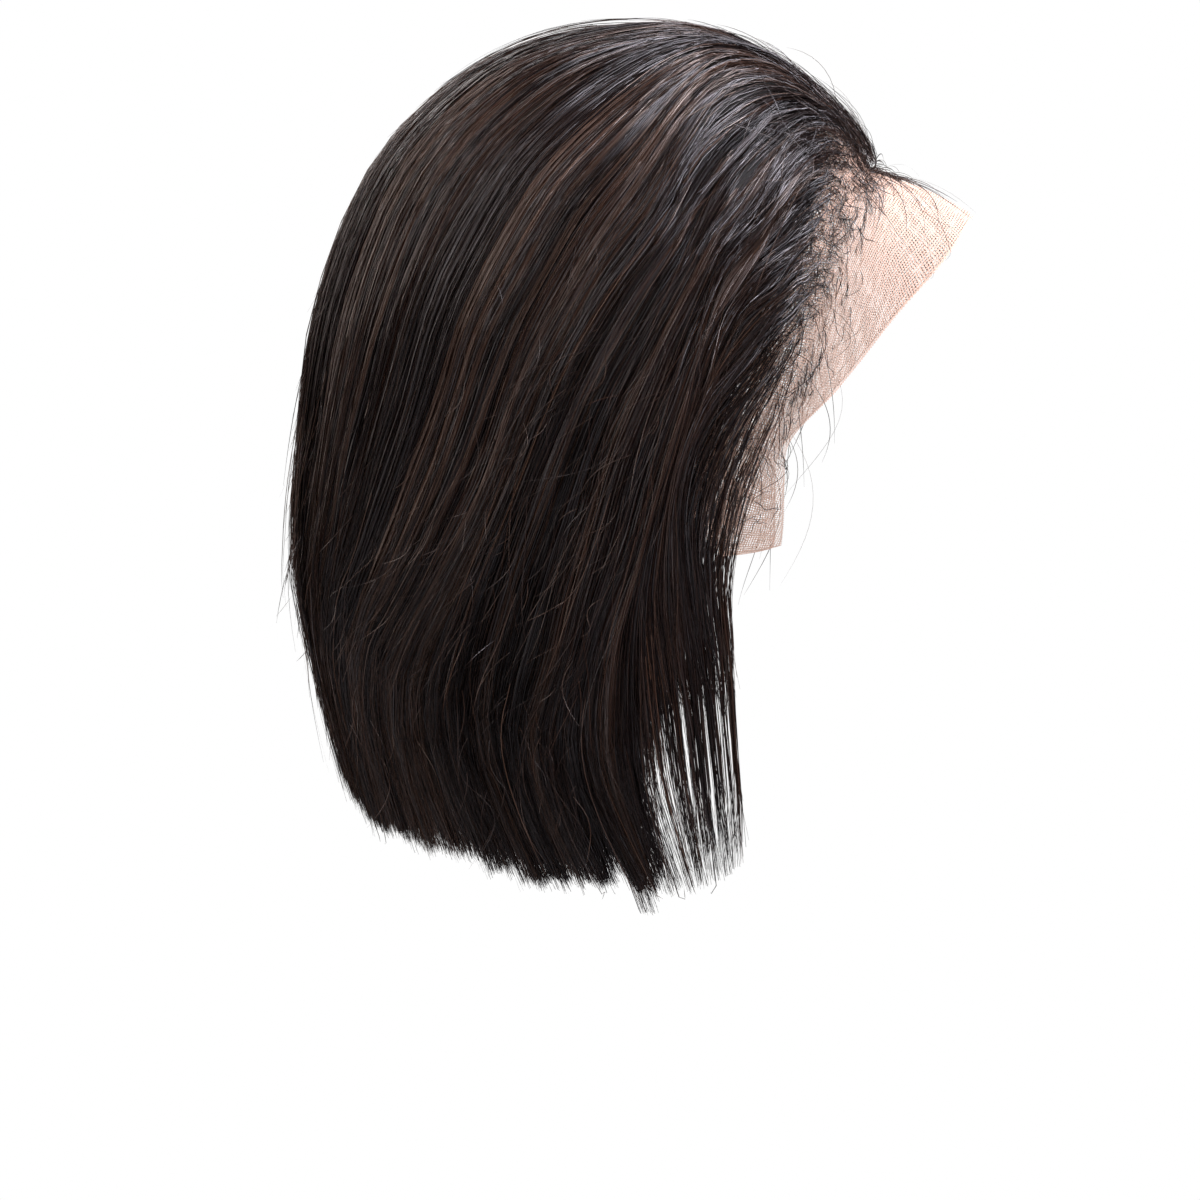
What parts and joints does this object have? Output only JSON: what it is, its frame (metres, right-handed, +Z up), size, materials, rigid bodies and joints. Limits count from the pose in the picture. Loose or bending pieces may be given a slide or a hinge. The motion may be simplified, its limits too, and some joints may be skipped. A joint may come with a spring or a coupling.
{
  "type": "bob wig",
  "caption": "Lace-front bob wig: a sheer lace front with an uncut flap, a plain cap, and straight dark hair swept back and hanging to a hem below the chin, open for the face and neck.",
  "frame": {"origin": "inside of the crown, where the cap sits on top of the head", "axes": "+Z up, +X towards the face, +Y towards the wearer's left"},
  "size_m": [0.2524, 0.1821, 0.319],
  "materials": {
    "lace": "sheer net",
    "cap": "stretch mesh",
    "hair": "satin strands"
  },
  "bodies": {
    "root": {"lace_front": "lace", "wig_cap": "cap", "hair_right_front": "hair", "hair_right_side": "hair", "hair_right_back": "hair", "hair_back_centre": "hair", "hair_left_back": "hair", "hair_left_side": "hair", "hair_left_front": "hair"}
  },
  "joints": []
}
